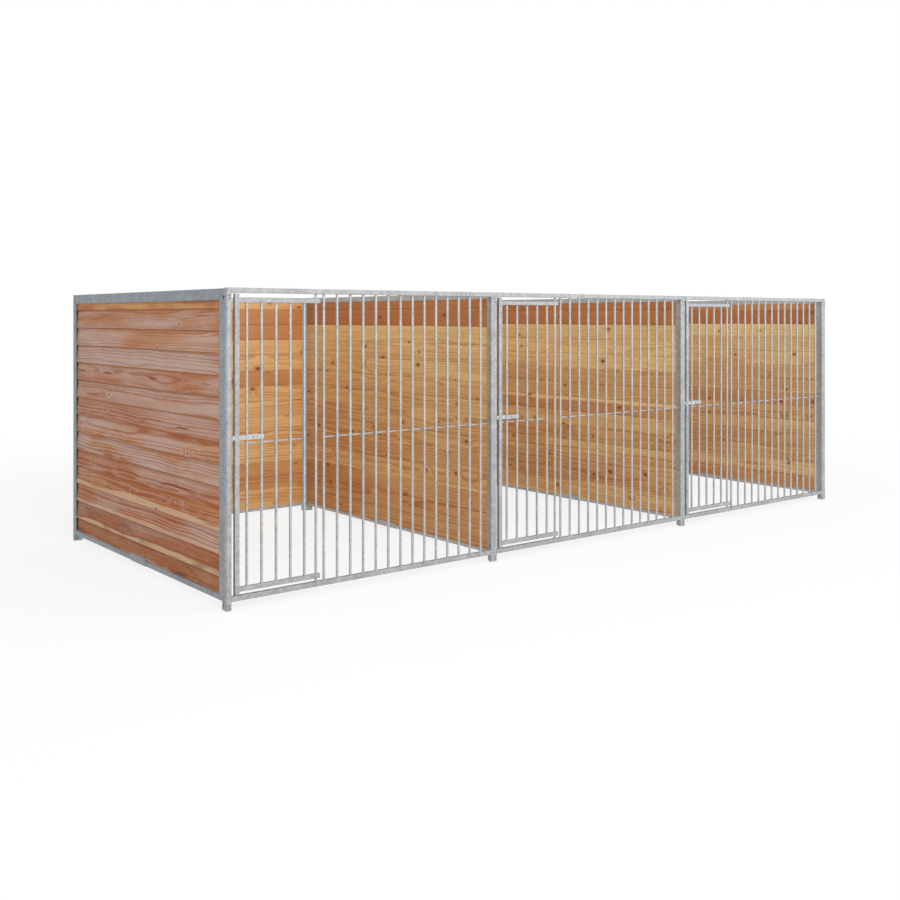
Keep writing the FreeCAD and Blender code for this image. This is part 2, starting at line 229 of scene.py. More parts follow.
class Finish:
    """A material or world built from procedural nodes."""

    def __init__(self, owner):
        self.owner = owner
        owner.use_nodes = True
        self.tree = owner.node_tree
        self.tree.nodes.clear()

    def node(self, kind, settings=None, sockets=None, output=0):
        """Adds a node, sets it up, then feeds its sockets with numbers, tuples or other values."""
        made = self.tree.nodes.new(kind)
        for name, value in (settings or {}).items():
            setattr(made, name, value)
        for name, value in (sockets or {}).items():
            if isinstance(value, Value):
                self.tree.links.new(value.socket, made.inputs[name])
            else:
                made.inputs[name].default_value = value
        return Value(self, made.outputs[output]) if len(made.outputs) else made

    def attribute(self, name, output="Vector"):
        return self.node("ShaderNodeAttribute", {"attribute_name": name}, output=output)

    def object_place(self):
        return self.node("ShaderNodeTexCoord", output="Object")

    def split(self, vector):
        x = self.node("ShaderNodeSeparateXYZ", {}, {0: vector})
        return x, x.other("Y"), x.other("Z")

    def vector(self, x, y, z):
        return self.node("ShaderNodeCombineXYZ", {}, {0: x, 1: y, 2: z})

    def vector_maths(self, operation, a, b, output=0):
        return self.node("ShaderNodeVectorMath", {"operation": operation}, {0: a, 1: b}, output)

    def noise(self, place, scale, detail=2.0, roughness=0.5):
        return self.node("ShaderNodeTexNoise", {},
                         {"Vector": place, "Scale": scale, "Detail": detail, "Roughness": roughness})

    def step(self, value, low, high):
        """0 below low, 1 above high, smooth between them."""
        return self.node("ShaderNodeMapRange", {"interpolation_type": "SMOOTHSTEP"},
                         {"Value": value, "From Min": low, "From Max": high})

    def mix(self, share, a, b, blend="MIX"):
        """Colour between a and b."""
        a, b = (colour if isinstance(colour, Value) else (*colour, 1.0) for colour in (a, b))
        settings = {"data_type": "RGBA", "blend_type": blend}
        return self.node("ShaderNodeMix", settings, {0: share, 6: a, 7: b}, 2)

    def mix_value(self, share, a, b):
        """Number between a and b."""
        return self.node("ShaderNodeMix", {"data_type": "FLOAT"}, {0: share, 2: a, 3: b})

    def bump(self, height, distance, strength):
        return self.node("ShaderNodeBump", {},
                         {"Strength": strength, "Distance": distance, "Height": height})

    def surface(self, **sockets):
        """Principled shader, with spaces in socket names written as underscores."""
        named = {name.replace("_", " "): value for name, value in sockets.items()}
        shader = self.node("ShaderNodeBsdfPrincipled", {}, named)
        self.node("ShaderNodeOutputMaterial", {}, {"Surface": shader})
        return self.owner


class Larch(Finish):
    """Larch, from the grain place, the random numbers and the row that each board carries."""

    def __init__(self, colours, sizes):
        super().__init__(bpy.data.materials.new("larch"))
        self.colours = colours
        self.lap = sizes.lap
        self.top = sizes.full_height
        self.covered_from = sizes.full_height - sizes.lap
        grain = self.attribute("grain_place")
        luck = self.attribute("board_luck")
        self.along, self.depth, self.up = self.split(grain)
        self.luck_a, self.luck_b, self.luck_c = self.split(luck)
        self.height, self.ripped, self.heart = self.split(self.attribute("board_row"))
        sheltered = self.attribute("board_sheltered", "Fac")
        # 1 on the inner face, and all over the boards of the dividers
        self.inside = (1 - self.step(self.depth, 0.002, 0.0045)).or_more(sheltered)
        self.outside = 1 - self.inside
        own_shift = self.vector_maths("MULTIPLY", luck, (37.0, 19.0, 23.0))
        self.own_place = self.vector_maths("ADD", grain, own_shift)
        self.wander = self.grain_noise(4.0, 0.85, 2.0) - 0.5
        self.ripple = self.grain_noise(30.0, 4.0, 1.0) - 0.5
        self.blotch = self.grain_noise(7.0, 1.3, 3.0)
        self.fibres = self.grain_noise(220.0, 8.0, 3.0, 0.65)
        self.knot_reach, self.knot_here = self.knots()
        self.knot_heart = (1 - self.step(self.knot_reach, 0.5, 1.15)) * self.knot_here
        self.latewood = self.growth_rings()
        self.crack = self.drying_cracks()

    def grain_noise(self, across_grain, along_grain, detail, roughness=0.5):
        """Noise that differs from board to board, with its scales across and along the grain."""
        scales = (along_grain, across_grain, across_grain)
        return self.noise(self.vector_maths("MULTIPLY", self.own_place, scales), 1.0, detail, roughness)

    def knots(self):
        """Distance from the nearest knot, in knot radii, and 1 where the cell of the board has a knot."""
        share = self.luck_b * 0.4 * self.outside + self.inside * 0.44 + 0.06
        smallest = 0.003
        spread = self.inside * 0.004 + 0.005
        # Cells about 0.4 m long and 0.15 m high, and knots longer than they are high
        cells = self.vector(self.along * 2.6 + self.luck_a * 71, self.up * 6.5 + self.luck_b * 53, 0.0)
        nearest = self.node("ShaderNodeTexVoronoi", {"voronoi_dimensions": "2D"},
                            {"Vector": cells, "Scale": 1.0, "Randomness": 0.9})
        cell_luck, cell_size, _ = self.split(nearest.other("Color"))
        offset = self.vector_maths("SUBTRACT", cells, nearest.other("Position"))
        offset = self.vector_maths("MULTIPLY", offset, (1 / 4.6, 1 / 6.5, 0.0))
        distance = self.vector_maths("LENGTH", offset, (0.0, 0.0, 0.0), "Value")
        return distance / (cell_size * spread + smallest), self.step(cell_luck + share, 0.99, 1.0)

    def growth_rings(self):
        """1 in the latewood of rings round a pith outside the board, bent by growth and by knots."""
        pith_depth = self.luck_a * 0.09 + 0.035
        pith_up = self.luck_b * 0.24 - 0.05
        from_pith = ((self.depth - pith_depth) ** 2 + (self.up - pith_up) ** 2) ** 0.5
        swirl = (1 - self.step(self.knot_reach, 0.0, 6.0)) * self.knot_here
        radius = from_pith + self.wander * 0.085 + self.ripple * 0.006 + swirl * 0.021
        years = self.vector(radius * 34 + self.luck_a * 50, self.luck_b * 20, 0.0)
        lean_years = self.noise(years, 1.0, 1.0) * 2.4
        ring_width = self.colours.ring_width * (1 - self.inside * 0.28)
        ring = (radius / ring_width + lean_years).part_of_one()
        return self.step(ring, 0.42, 0.88) * (1 - self.step(ring, 0.9, 1.0))

    def drying_cracks(self):
        """1 in the cracks that open here and there along one line of some boards, outside."""
        widest = 0.0052
        wiggle = self.noise(self.vector(self.along * 2.6 + self.luck_a * 90, 0.0, 0.0), 1.0, 2.0) - 0.5
        off_line = abs(self.up - self.luck_b * 0.06 - 0.035 + wiggle * 0.045)
        run = self.along * (self.luck_a * 3.4 + 1.1) + self.luck_b * 70
        opened = self.noise(self.vector(run, 3.0, 0.0), 1.0, 0.0)
        width = self.step(opened, 0.54, 0.72) * widest
        crack = (1 - self.step(off_line - width, -0.0016, 0.0012)) * self.step(opened, 0.54, 0.57)
        return crack * (self.outside * self.step(self.luck_c, 0.45, 0.46))

    def heartwood(self):
        """Redder low on the wall, greyish pink outside where the weather has bleached it."""
        colours = self.colours
        unlike = self.blotch - 0.5
        redness = self.luck_c * (0.45 - self.inside * 0.3)
        redness = redness + (1 - self.height) ** 2 * (0.45 - self.inside * 0.35) + self.inside * 0.1
        redness = self.step(redness + unlike * (1.7 - self.height * 0.7), 0.0, 0.9)
        tan = self.step(self.luck_b * 0.7 + unlike * 2.0 - self.height * 0.5, -0.15, 0.45)
        outdoor = self.mix(tan, colours.weathered_pale, colours.weathered_tan)
        outdoor = self.mix(redness, outdoor, colours.weathered_red)
        bloom = self.step(self.grain_noise(16.0, 1.6, 3.0), 0.36, 0.78)
        bloom = bloom * (self.height * self.height * 0.6 + 0.16)
        outdoor = self.mix(bloom, outdoor, colours.bloom)
        golden = self.mix(self.step(self.blotch, 0.42, 0.58), colours.golden, colours.orange)
        outdoor = self.mix(self.ripped * 0.85, outdoor, golden)
        indoor = self.mix(redness, colours.indoor_pale, colours.indoor_red)
        indoor = self.mix(self.heart + (self.height - 0.5) * 0.3, indoor, colours.orange)
        return self.mix(self.inside, outdoor, indoor)

    def figured(self, colour):
        """The colour with the rings' dark latewood, and with bleached curls outside."""
        contrast = self.step(self.blotch, 0.38, 0.6) * (0.5 - self.height * 0.28)
        contrast = contrast + (1 - self.height) * (self.height * 0.6 + 0.42) + 0.25
        figure = self.latewood * contrast * (1 - self.inside * 0.46)
        colour = self.mix(figure, colour, self.colours.latewood)
        dapple = self.step(self.grain_noise(24.0, 9.0, 3.0, 0.6), 0.48, 0.78) * 0.26
        curl = self.grain_noise(16.0, 21.0, 3.0, 0.6) + self.grain_noise(4.0, 2.2, 1.0) * 0.8
        curl = self.step(curl, 1.04, 1.28) * 0.4
        return self.mix((dapple + curl) * self.outside, colour, self.colours.bloom)

    def edged(self, colour):
        """The colour with a strip of sapwood along an edge of some boards, mostly low on the wall."""
        colours = self.colours
        has_sap = self.step(self.luck_a + (0.47 - self.height) * (1.7 - self.inside * 1.4), 0.72, 0.74)
        at_top = self.step(self.luck_c, 0.85, 0.86)
        from_edge = self.mix_value(at_top, self.up, self.covered_from + 0.0015 - self.up)
        strip = self.luck_b * 0.02 + 0.016
        past_strip = from_edge - strip + self.wander * 0.1 + self.ripple * 0.02
        sap = (1 - self.step(past_strip, -0.004, 0.005)) * has_sap
        sap_colour = self.mix(self.inside, colours.sapwood, colours.indoor_pale)
        colour = self.mix(sap * (self.luck_c * 0.4 + 0.45), colour, sap_colour)
        return self.mix(self.step(self.fibres, 0.35, 0.8) * 0.3, colour, colours.latewood)

    def knotted(self, colour):
        """The colour with the knots, each with a ragged halo, a rim and a heart."""
        colours = self.colours
        ragged = self.knot_reach + (self.grain_noise(90.0, 60.0, 2.0) - 0.5) * 3.0
        halo = (1 - self.step(ragged, 1.0, 3.4)) * self.knot_here
        rim = (1 - self.step(self.knot_reach, 0.8, 1.7)) * self.knot_here
        halo_colour = self.mix(self.inside, colours.sapwood, colours.latewood)
        colour = self.mix(halo * (self.inside * 0.2 + 0.25), colour, halo_colour)
        colour = self.mix(rim * 0.6, colour, colours.latewood)
        return self.mix(self.knot_heart * 0.8, colour, colours.knot)

    def worn(self, colour):
        """The colour with the strip that a lap had covered, painted shade in the seams inside, darker
        blotches near the foot and cracks.
        """
        colours = self.colours
        shrunk = (self.blotch - 0.5) * 0.024 + self.luck_a * 0.005
        covered = self.step(self.up + shrunk, self.covered_from - 0.0105, self.covered_from - 0.0055)
        covered = covered * self.outside * (1 - self.ripped)
        colour = self.mix(covered * (self.luck_a * 0.4 + 0.5), colour, colours.fresh)
        # Painted shade along the joints between the boards inside
        seam = self.step(self.up, self.top - 0.004, self.top - 0.001)
        seam = seam + 1 - self.step(self.up, self.lap + 0.0005, self.lap + 0.0035)
        seam = seam * self.inside * self.step(self.grain_noise(3.0, 1.6, 2.0), 0.36, 0.56)
        colour = self.mix(seam * 0.5, colour, colours.seam)
        # Darker towards the bottom of the outer face, with darker blotches there
        foot = (1 - self.step(self.height, 0.06, 0.2)) * self.outside
        foot_blotch = self.step(self.grain_noise(14.0, 3.0, 3.0), 0.5, 0.7) * foot
        colour = self.mix(foot_blotch * 0.6 + foot * 0.26, colour, colours.knot)
        return self.mix(self.crack * 0.9, colour, colours.crack)

    def finished(self):
        colour = self.worn(self.knotted(self.edged(self.figured(self.heartwood()))))
        relief = self.fibres * 0.35 + self.latewood * 0.4 - self.crack * 0.4 + self.knot_heart * 0.3
        return self.surface(Base_Color=colour, Roughness=0.62 + self.fibres * 0.16,
                            Normal=self.bump(relief, 0.0012, 0.6), Specular_IOR_Level=0.2)


def zinc_finish(name, colour, spangle, shine, left_wall=None):
    """Hot dip galvanised steel: crystals, cloudy patches and a satin surface.

    left_wall is the x up to which pieces belong to the left wall, and the share of the colour that
    they keep as painted shade.
    """
    zinc = Finish(bpy.data.materials.new(name))
    place = zinc.object_place()
    crystals = zinc.node("ShaderNodeTexVoronoi", {},
                         {"Vector": place, "Scale": 1 / spangle, "Randomness": 1.0}, "Color")
    shade, gloss, _ = zinc.split(crystals)
    clouds = zinc.noise(place, 9.0, 4.0, 0.6)
    patches = zinc.noise(place, 42.0, 3.0, 0.6)
    specks = zinc.noise(place, 160.0, 2.0)
    tone = (shade - 0.5) * 0.4 + (clouds - 0.5) * 0.9
    tone = tone + (patches - 0.5) * 1.1 + (specks - 0.5) * 0.4 + 0.5
    dark_shares = (0.76, 0.78, 0.8)
    light_share = 1.2
    dark = [c * share for c, share in zip(colour, dark_shares)]
    light = [min(1.0, c * light_share) for c in colour]
    base = zinc.mix(zinc.step(tone, 0.05, 0.95), dark, light)
    # Painted shade: the left wall's pieces keep only a darker share of the colour
    if left_wall is not None:
        edge, shaded_left_share = left_wall
        x, _, _ = zinc.split(place)
        base = zinc.mix(1 - zinc.step(x, edge - 0.01, edge), base, shaded_left_share, "MULTIPLY")
    return zinc.surface(Base_Color=base, Metallic=shine,
                        Roughness=0.4 + clouds * 0.18 + gloss * 0.1,
                        Normal=zinc.bump(clouds + patches * 0.4 + shade * 0.12, 0.0015, 0.25))


def deselect_all():
    if bpy.context.mode != "OBJECT":
        bpy.ops.object.mode_set(mode="OBJECT")
    bpy.ops.object.select_all(action="DESELECT")


def make_active(piece):
    deselect_all()
    piece.select_set(True)
    bpy.context.view_layer.objects.active = piece


def pick(piece, kind, test):
    """Selects, in edit mode, what passes a test. kind is VERT, EDGE or FACE."""
    bpy.ops.mesh.select_mode(type=kind)
    bpy.ops.mesh.select_all(action="DESELECT")
    shape = bmesh.from_edit_mesh(piece.data)
    for item in {"VERT": shape.verts, "EDGE": shape.edges, "FACE": shape.faces}[kind]:
        if test(item):
            item.select_set(True)
    shape.select_flush_mode()
    bmesh.update_edit_mesh(piece.data)


def apply_modifier(piece, kind, **settings):
    make_active(piece)
    modifier = piece.modifiers.new(kind.lower(), kind)
    for name, value in settings.items():
        setattr(modifier, name, value)
    bpy.ops.object.modifier_apply(modifier=modifier.name)


def copy_of(piece, placing):
    """A copy with its own mesh, with the placing in the mesh."""
    made = piece.copy()
    made.data = piece.data.copy()
    made.data.transform(placing)
    bpy.context.scene.collection.objects.link(made)
    return made


def joined(pieces, name):
    """The pieces as one, with a new name."""
    deselect_all()
    for piece in pieces:
        piece.select_set(True)
    bpy.context.view_layer.objects.active = pieces[0]
    if len(pieces) > 1:
        bpy.ops.object.join()
    whole = bpy.context.view_layer.objects.active
    whole.name = name
    whole.data.name = name
    return whole


def throw_away(*pieces):
    for piece in pieces:
        bpy.data.objects.remove(piece)


def solids_of(node):
    """Lowest and highest corner of each solid of a CAD node, sorted by place."""
    mesh = frame["nodes"][node].data
    corner = {}
    index = [corner.setdefault(tuple(round(c, 5) for c in v.co), len(corner)) for v in mesh.vertices]
    group = list(range(len(corner)))

    def root(i):
        while group[i] != i:
            group[i] = group[group[i]]
            i = group[i]
        return i

    for face in mesh.polygons:
        first = root(index[face.vertices[0]])
        for vertex in face.vertices[1:]:
            group[root(index[vertex])] = first
    points = {}
    for place, i in corner.items():
        points.setdefault(root(i), []).append(place)
    boxes = [(Vector(np.min(p, axis=0)), Vector(np.max(p, axis=0))) for p in points.values()]
    return sorted(boxes, key=lambda low_high: tuple(round(c, 4) for c in low_high[0]))


def model_board(length, height, sizes):
    """One board: x along it, y from its inner face outwards, z up from its bottom edge."""
    deselect_all()
    bpy.ops.mesh.primitive_cube_add(size=1.0, location=(length / 2, sizes.thick_edge / 2, height / 2))
    board = bpy.context.object
    board.scale = (length, sizes.thick_edge, height)
    bpy.ops.object.transform_apply(location=True, rotation=True, scale=True)
    taper = (sizes.thick_edge - sizes.thin_edge) / sizes.full_height
    bpy.ops.object.mode_set(mode="EDIT")
    pick(board, "VERT", lambda v: v.co.y > sizes.thick_edge / 2 and v.co.z > height / 2)
    bpy.ops.transform.translate(value=(0.0, -taper * height, 0.0))
    bpy.ops.object.mode_set(mode="OBJECT")

    deselect_all()
    bpy.ops.mesh.primitive_cube_add(size=1.0, location=(length / 2, 0.0, 0.0))
    rebate = bpy.context.object
    rebate.scale = (length * 1.1, 2 * sizes.tongue, 2 * sizes.lap)
    bpy.ops.object.transform_apply(location=True, rotation=True, scale=True)
    apply_modifier(board, "BOOLEAN", object=rebate, operation="DIFFERENCE", solver="EXACT")
    throw_away(rebate)
    apply_modifier(board, "BEVEL", width=sizes.edge_round, segments=2, limit_method="ANGLE")

    # Cuts along and across the faces, for the waves
    make_active(board)
    bpy.ops.object.mode_set(mode="EDIT")
    for share in (0.3, 0.5, 0.7):
        bpy.ops.mesh.select_all(action="SELECT")
        bpy.ops.mesh.bisect(plane_co=(0.0, 0.0, height * share), plane_no=(0.0, 0.0, 1.0))
    pick(board, "EDGE", lambda e: abs(e.verts[0].co.x - e.verts[1].co.x) > length / 2)
    bpy.ops.mesh.subdivide(number_cuts=19)
    bpy.ops.object.mode_set(mode="OBJECT")
    return board


def board_rows(low, high, sizes):
    """Lowest and highest corner of each board of a wall, from the bottom up."""
    cover = sizes.full_height - sizes.lap
    full_boards = int((high.z - low.z - sizes.lap - 2 * sizes.edge_round) // cover)
    rows = []
    for row in range(full_boards + 1):
        bottom = low.z + row * cover
        top = bottom + sizes.full_height if row < full_boards else high.z
        rows.append((Vector((low.x, low.y, bottom)), Vector((high.x, high.y, top))))
    return rows


def board_turn(wall):
    """Turn of a board about the upright, from its own frame to its wall."""
    if wall.startswith("rear"):
        return Matrix.Rotation(0.0, 4, "Z")
    return Matrix.Rotation(math.radians(90.0 if wall == "left_wall" else -90.0), 4, "Z")


def give_board_numbers(board, luck, row, sheltered, flip, length):
    """Grain place, random numbers, row and shelter of a board, for the larch finish."""
    mesh = board.data
    places = np.zeros(len(mesh.vertices) * 3, np.float32)
    mesh.vertices.foreach_get("co", places)
    places = places.reshape(-1, 3)
    if flip:
        places[:, 0] = length - places[:, 0]
    values = {"grain_place": places, "board_luck": np.tile(luck, (len(places), 1)),
              "board_row": np.tile(row, (len(places), 1))}
    for name, numbers in values.items():
        attribute = mesh.attributes.new(name, "FLOAT_VECTOR", "POINT")
        attribute.data.foreach_set("vector", np.asarray(numbers, np.float32).ravel())
    shelter = mesh.attributes.new("board_sheltered", "FLOAT", "POINT")
    shelter.data.foreach_set("value", np.full(len(places), sheltered, np.float32))


def heart_share(wall, height, luck):
    """Share of orange heartwood of one board, at a height from 0 to 1 on its wall."""
    if wall.startswith("rear"):
        return luck.choice(rear_hearts)
    if wall == "left_wall":
        return luck.uniform(*left_hearts)
    # Top boards inside: partly darker boards, partly painted shade under the top rail
    if height > top_shade_from:
        return luck.uniform(*top_shade_hearts)
    if height > pale_from:
        return luck.uniform(*pale_hearts)
    return luck.uniform(*mixed_hearts)


def lay_boards(wall, patterns, sizes, waves, larch):
    """All boards of one wall, as one piece that stands for the CAD boards."""
    luck = random.Random("%s %d" % (wall, sizes.seed))
    lowest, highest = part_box(wall + "_boards")
    reach = highest.z - lowest.z
    laid = []
    for low, high in board_rows(lowest, highest, sizes):
        length = max(high.x - low.x, high.y - low.y)
        height = high.z - low.z
        key = (round(length, 3), round(height, 3))
        if key not in patterns:
            patterns[key] = model_board(length, height, sizes)
        shift = Matrix.Translation((luck.uniform(0, 40), luck.uniform(0, 3), luck.uniform(0, 9)))
        board = copy_of(patterns[key], shift)
        apply_modifier(board, "DISPLACE", texture=waves, strength=sizes.waviness, mid_level=0.5,
                       texture_coords="LOCAL")
        board.data.transform(shift.inverted())
        ripped = 1.0 if height < ripped_share * sizes.full_height else 0.0
        numbers = [luck.random() for _ in range(3)]
        row_height = ((low.z + high.z) / 2 - lowest.z) / reach
        row = (row_height, ripped, heart_share(wall, row_height, luck))
        sheltered = 1.0 if wall.startswith("divider") else 0.0
        give_board_numbers(board, numbers, row, sheltered, luck.random() < 0.5, length)
        droop = luck.uniform(-1, 1) * sizes.droop / length
        board.data.transform(Matrix.Translation((-length / 2, 0.0, 0.0)))
        board.data.transform(Matrix.Rotation(droop, 4, "Y"))
        board.data.transform(board_turn(wall))
        middle = (low + high) / 2
        if wall.startswith("rear"):
            place = (middle.x, low.y, low.z)
        elif wall == "left_wall":
            place = (high.x, middle.y, low.z)
        else:
            place = (low.x, middle.y, low.z)
        board.data.transform(Matrix.Translation(place))
        laid.append(board)
    boards = joined(laid, wall + "_larch")
    bpy.ops.object.shade_smooth_by_angle(angle=smooth_angle)
    boards.data.materials.clear()
    boards.data.materials.append(larch)
    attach(boards, "kennel_frame")
    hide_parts(wall + "_boards")


class KENNEL_OT_boards(bpy.types.Operator):
    """Lay the lapped larch boards of all seven wall panels"""
    bl_idname = "kennel.boards"
    bl_label = "Larch boards"

    def execute(self, context):
        sizes = context.scene.kennel_boards
        larch = Larch(context.scene.kennel_larch, sizes).finished()
        waves = bpy.data.textures.new("board_waves", "CLOUDS")
        waves.noise_scale = sizes.wave_size
        patterns = {}
        for wall in side_walls + rear_walls:
            lay_boards(wall, patterns, sizes, waves, larch)
        throw_away(*patterns.values())
        return {"FINISHED"}


class KENNEL_OT_steel(bpy.types.Operator):
    """Give the CAD posts, rails, bars, latches and bolts their zinc finishes"""
    bl_idname = "kennel.steel"
    bl_label = "Galvanised steel"

    def execute(self, context):
        steel = context.scene.kennel_steel
        spangle = steel.spangle
        # Painted shade on the left wall's zinc, painted light on the zinc of the frames inside the bays
        shaded_left_panel = zinc_finish("zinc_left_panel", steel.shaded_left_panel, spangle, 0.55)
        lit_inner_panels = zinc_finish("zinc_inner_panels", steel.lit_inner_panels, spangle, 0.35)
        # Between the saddle of the left wall and all others; the left one gets the painted shade of the
        # left wall's zinc
        past_left_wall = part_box("left_wall_posts")[1].x + 0.05
        shaded_left_share = [left / inner for left, inner in zip(steel.shaded_left_panel, steel.lit_inner_panels)]
        saddles = zinc_finish("zinc_saddles", steel.lit_inner_panels, spangle, 0.35, (past_left_wall, shaded_left_share))
        finishes = {
            "frame_steel": zinc_finish("zinc_fronts", steel.fronts, spangle, 0.55),
            "bar_steel": zinc_finish("zinc_bars", steel.bars, spangle * 0.6, 0.6),
            "latch_steel": zinc_finish("zinc_latches", steel.latches, spangle * 0.7, 0.6),
            "fastener_zinc": zinc_finish("zinc_fasteners", steel.fasteners, steel.fine_spangle, 0.75),
        }
        for subpart in frame["record"]["subparts"]:
            name = subpart["node"]
            finish = finishes.get(subpart["material_slot"])
            if finish is not None and name.startswith(side_walls + rear_walls):
                finish = shaded_left_panel if name.startswith("left_wall") else lit_inner_panels
            if name == "wall_saddles":
                finish = saddles
            if finish is not None:
                frame["nodes"][name].data.materials.clear()
                frame["nodes"][name].data.materials.append(finish)
        return {"FINISHED"}


def make_lumpy(weld, lumps, amount):
    """Gives a weld the uneven surface of run metal."""
    apply_modifier(weld, "DISPLACE", texture=lumps, strength=amount, mid_level=0.5,
                   texture_coords="LOCAL")
    bpy.ops.object.shade_smooth()


def model_bead(bar_radius, thickness, lumps):
    """Weld bead round the end of a bar, lying on a rail with its underside pressed flat."""
    flattened = 0.2
    deselect_all()
    bpy.ops.mesh.primitive_torus_add(major_radius=bar_radius + thickness * 0.25, minor_radius=thickness,
                                     major_segments=20, minor_segments=6)
    bead = bpy.context.object
    bpy.ops.object.mode_set(mode="EDIT")
    pick(bead, "VERT", lambda v: v.co.z < -thickness * flattened)
    bpy.ops.transform.resize(value=(1.0, 1.0, flattened))
    bpy.ops.object.mode_set(mode="OBJECT")
    make_lumpy(bead, lumps, thickness * 0.6)
    return bead


def model_seam(side, thickness, lumps):
    """Weld seam round the end of a square tube, lying flat."""
    deselect_all()
    bpy.ops.mesh.primitive_torus_add(major_radius=side / math.sqrt(2), minor_radius=thickness,
                                     major_segments=4, minor_segments=6,
                                     rotation=(0.0, 0.0, math.radians(45)))
    seam = bpy.context.object
    bpy.ops.object.transform_apply(location=True, rotation=True, scale=True)
    bpy.ops.object.mode_set(mode="EDIT")
    pick(seam, "EDGE", lambda e: (e.verts[0].co - e.verts[1].co).length > side / 2)
    bpy.ops.mesh.subdivide(number_cuts=8)
    bpy.ops.object.mode_set(mode="OBJECT")
    make_lumpy(seam, lumps, thickness * 0.5)
    return seam


def model_spot(height, lumps):
    """Spot weld between a bar and the tie rod behind it."""
    width = height * 0.7
    depth = height * 0.4
    deselect_all()
    bpy.ops.mesh.primitive_uv_sphere_add(segments=10, ring_count=6, radius=0.5)
    spot = bpy.context.object
    spot.scale = (width, depth, height)
    bpy.ops.object.transform_apply(location=True, rotation=True, scale=True)
    make_lumpy(spot, lumps, depth * 0.25)
    return spot


def weld_bar_ends(bars, bead, luck):
    """Copies of the bead at both ends of each upright bar."""
    beads = []
    for low, high in bars:
        middle = (low + high) / 2
        for z, over in ((low.z, 0.0), (high.z, math.pi)):
            turn = Matrix.Rotation(luck.uniform(0, 2 * math.pi), 4, "Z")
            tip = Matrix.Rotation(over, 4, "X")
            beads.append(copy_of(bead, Matrix.Translation((middle.x, middle.y, z)) @ tip @ turn))
    return beads


def weld_tie_rod(bars, rods, spot, luck):
    """Copies of the spot weld where a tie rod crosses the backs of the bars."""
    spots = []
    for rod_low, rod_high in rods:
        z = (rod_low.z + rod_high.z) / 2
        for low, high in bars:
            if rod_low.x < high.x and rod_high.x > low.x:
                turn = Matrix.Rotation(luck.uniform(0, 2 * math.pi), 4, "Y")
                place = Matrix.Translation(((low.x + high.x) / 2, high.y, z))
                spots.append(copy_of(spot, place @ turn))
    return spots


def weld_tube_end(low, high, across, seam, side):
    """A copy of the seam round the flat section between two corners, across or up the run."""
    size = high - low
    if across:
        turn = Matrix(((0, 0, 1, 0), (1, 0, 0, 0), (0, 1, 0, 0), (0, 0, 0, 1)))
        shape = Matrix.Diagonal((size.y / side, size.z / side, 1.0, 1.0))
    else:
        turn = Matrix.Identity(4)
        shape = Matrix.Diagonal((size.x / side, size.y / side, 1.0, 1.0))
    return copy_of(seam, Matrix.Translation((low + high) / 2) @ turn @ shape)


def front_joints(bay, flush):
    """Sections of a front's tubes that are welded: two corners, and whether it stands across the run.

    Where a tube ends level with a neighbour or with the top, the seam is set back by flush.
    """
    low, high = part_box("front_%d_bottom_rail" % bay)
    joints = [(low, Vector((low.x, high.y, high.z)), True)]
    joints.append((Vector((high.x, low.y, low.z)), high, True))
    low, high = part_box("front_%d_top_rail" % bay)
    joints.append((low, Vector((low.x, high.y, high.z - flush)), True))
    low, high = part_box("front_%d_end_stile" % bay)
    joints.append((Vector((low.x, low.y, high.z)), Vector((high.x - flush, high.y, high.z)), False))
    return joints


def door_joints(bay):
    """Sections of a door's rails that are welded to its stile."""
    rails = solids_of("door_%d_rails" % bay)
    return [(low, Vector((low.x, high.y, high.z)), True) for low, high in rails]


def upright(boxes):
    """The bars among the boxes, which are more than 1 m high."""
    return [(low, high) for low, high in boxes if high.z - low.z > 1.0]


def level(boxes):
    """The tie rods among the boxes, which are less than 0.1 m high."""
    return [(low, high) for low, high in boxes if high.z - low.z < 0.1]


class KENNEL_OT_welds(bpy.types.Operator):
    """Weld the bars, rods, rails and stiles of the fronts and doors"""
    bl_idname = "kennel.welds"
    bl_label = "Welds"

    def execute(self, context):
        steel = context.scene.kennel_steel
        zinc = bpy.data.materials["zinc_fronts"]
        luck = random.Random(weld_seed)
        lumps = bpy.data.textures.new("weld_lumps", "CLOUDS")
        lumps.noise_scale = steel.weld_lumps
        low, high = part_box("front_post_1")
        side = high.x - low.x
        low, high = upright(solids_of("front_1_bars"))[0]
        bead = model_bead((high.x - low.x) / 2, steel.weld_bead, lumps)
        seam = model_seam(side, steel.weld_seam, lumps)
        spot = model_spot(steel.weld_spot, lumps)
        # A lumpy seam stands out by less than this
        flush = steel.weld_seam * 1.3
        for bay in bays:
            hinge = upright(solids_of("front_%d_hinge_bar" % bay))
            groups = (("front", "kennel_frame", hinge, front_joints(bay, flush)),
                      ("door", "door_%d" % bay, [], door_joints(bay)))
            for group, body, more_bars, joints in groups:
                solids = solids_of("%s_%d_bars" % (group, bay))
                bars = upright(solids)
                welds = weld_bar_ends(bars + more_bars, bead, luck)
                welds += weld_tie_rod(bars, level(solids), spot, luck)
                for low, high, across in joints:
                    welds.append(weld_tube_end(low, high, across, seam, side))
                welds = joined(welds, "%s_%d_welds" % (group, bay))
                welds.data.materials.append(zinc)
                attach(welds, body)
        throw_away(bead, seam, spot)
        return {"FINISHED"}


